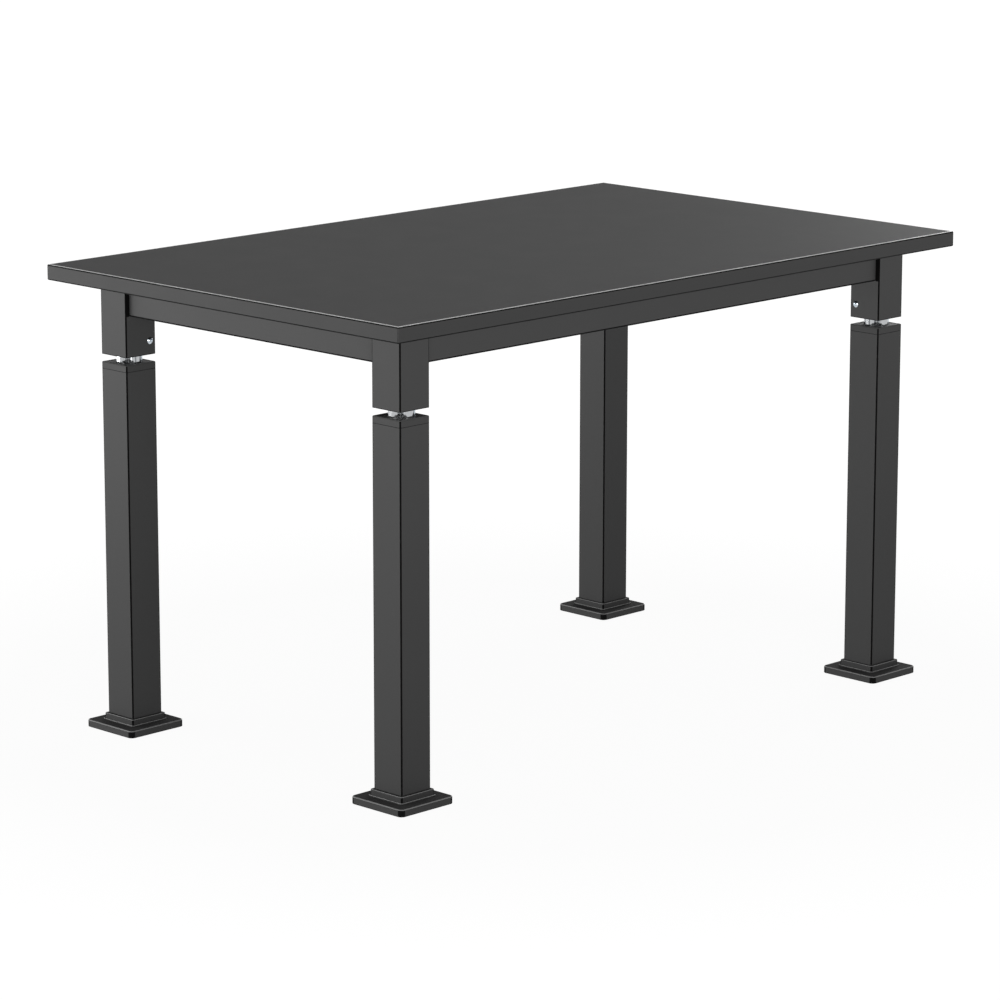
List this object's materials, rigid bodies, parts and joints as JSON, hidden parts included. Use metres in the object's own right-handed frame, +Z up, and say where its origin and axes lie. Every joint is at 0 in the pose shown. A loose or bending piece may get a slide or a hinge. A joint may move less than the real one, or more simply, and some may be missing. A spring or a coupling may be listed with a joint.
{
  "type": "height adjustable lab table",
  "caption": "Rectangular lab table with a dark slab worktop, rails between square legs and telescoping lower legs on stepped feet that slide together to set the height.",
  "frame": {"origin": "on the floor, at the centre of the worktop's footprint, with the legs fully retracted", "axes": "+X along the worktop's long side, +Y from the front to the rear, +Z up"},
  "size_m": [1.2192, 0.762, 0.72],
  "materials": {
    "worktop_laminate": "satin laminate with a fine grain",
    "powder_coat": "black powder coat, satin",
    "black_nylon": "moulded, satin",
    "post_aluminium": "clear anodised",
    "zinc_steel": "bright zinc plated",
    "ground_rod": "ground and hard chromed"
  },
  "bodies": {
    "table_frame": {"worktop": "worktop_laminate", "front_rail": "powder_coat", "rear_rail": "powder_coat", "left_rail": "powder_coat", "right_rail": "powder_coat", "clamp_screws": "zinc_steel", "worktop_screws": "zinc_steel", "bracket_bolts": "zinc_steel", "bracket_nuts": "zinc_steel", "front_left_upper_leg": "powder_coat", "front_left_corner_bracket": "powder_coat", "front_left_post": "post_aluminium", "front_left_post_insert": "black_nylon", "front_left_post_slider": "black_nylon", "front_left_guide_rod": "zinc_steel", "front_left_lift_cylinder": "zinc_steel", "front_right_upper_leg": "powder_coat", "front_right_corner_bracket": "powder_coat", "front_right_post": "post_aluminium", "front_right_post_insert": "black_nylon", "front_right_post_slider": "black_nylon", "front_right_guide_rod": "zinc_steel", "front_right_lift_cylinder": "zinc_steel", "rear_left_upper_leg": "powder_coat", "rear_left_corner_bracket": "powder_coat", "rear_left_post": "post_aluminium", "rear_left_post_insert": "black_nylon", "rear_left_post_slider": "black_nylon", "rear_left_guide_rod": "zinc_steel", "rear_left_lift_cylinder": "zinc_steel", "rear_right_upper_leg": "powder_coat", "rear_right_corner_bracket": "powder_coat", "rear_right_post": "post_aluminium", "rear_right_post_insert": "black_nylon", "rear_right_post_slider": "black_nylon", "rear_right_guide_rod": "zinc_steel", "rear_right_lift_cylinder": "zinc_steel"},
    "front_left_leg": {"front_left_lower_leg": "powder_coat", "front_left_leg_cap": "black_nylon", "front_left_post_bushing": "black_nylon", "front_left_lift_rod": "ground_rod", "front_left_foot": "black_nylon"},
    "front_right_leg": {"front_right_lower_leg": "powder_coat", "front_right_leg_cap": "black_nylon", "front_right_post_bushing": "black_nylon", "front_right_lift_rod": "ground_rod", "front_right_foot": "black_nylon"},
    "rear_left_leg": {"rear_left_lower_leg": "powder_coat", "rear_left_leg_cap": "black_nylon", "rear_left_post_bushing": "black_nylon", "rear_left_lift_rod": "ground_rod", "rear_left_foot": "black_nylon"},
    "rear_right_leg": {"rear_right_lower_leg": "powder_coat", "rear_right_leg_cap": "black_nylon", "rear_right_post_bushing": "black_nylon", "rear_right_lift_rod": "ground_rod", "rear_right_foot": "black_nylon"}
  },
  "joints": [
    {"name": "front_left_lift", "type": "slide", "parent": "table_frame", "child": "front_left_leg", "axis": [0, 0, -1], "range_m": [0, 0.305]},
    {"name": "front_right_lift", "type": "slide", "parent": "table_frame", "child": "front_right_leg", "axis": [0, 0, -1], "range_m": [0, 0.305]},
    {"name": "rear_left_lift", "type": "slide", "parent": "table_frame", "child": "rear_left_leg", "axis": [0, 0, -1], "range_m": [0, 0.305]},
    {"name": "rear_right_lift", "type": "slide", "parent": "table_frame", "child": "rear_right_leg", "axis": [0, 0, -1], "range_m": [0, 0.305]}
  ],
  "couplings": [
    {"joint": "front_right_lift", "follows": "front_left_lift", "ratio": 1},
    {"joint": "rear_left_lift", "follows": "front_left_lift", "ratio": 1},
    {"joint": "rear_right_lift", "follows": "front_left_lift", "ratio": 1}
  ]
}
